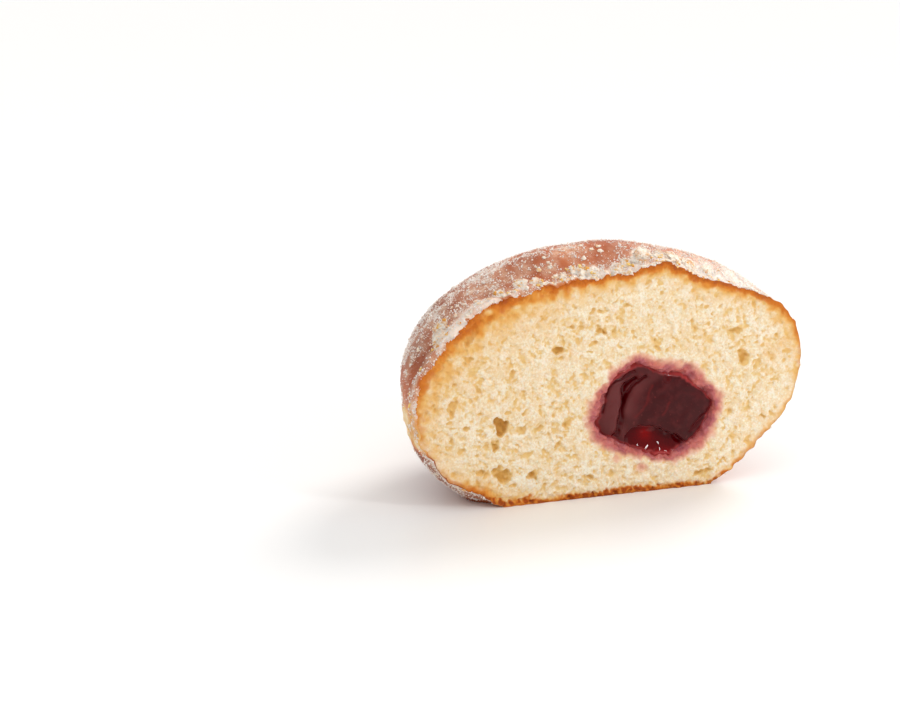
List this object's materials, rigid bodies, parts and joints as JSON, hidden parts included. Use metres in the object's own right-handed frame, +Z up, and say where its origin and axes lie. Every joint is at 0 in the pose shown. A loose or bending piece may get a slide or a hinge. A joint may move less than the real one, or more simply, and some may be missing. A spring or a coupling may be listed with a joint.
{
  "type": "jelly filled doughnut half",
  "caption": "Half of a sugared yeast doughnut cut upright through its middle, showing open crumb and an off-centre jelly filling, standing on its flat underside.",
  "frame": {"origin": "middle of the bounding box seen from above, on the table that the underside rests on", "axes": "+Z up, -Y out of the cut face, +X to the right of someone facing the cut face"},
  "size_m": [0.0892, 0.0448, 0.0536],
  "materials": {
    "dough": "fried golden brown crust with a coat of sugar, pale cream crumb on the cut face",
    "jelly": "wet, glossy dark red fruit jelly"
  },
  "bodies": {
    "root": {"dough": "dough", "jelly": "jelly"}
  },
  "joints": []
}
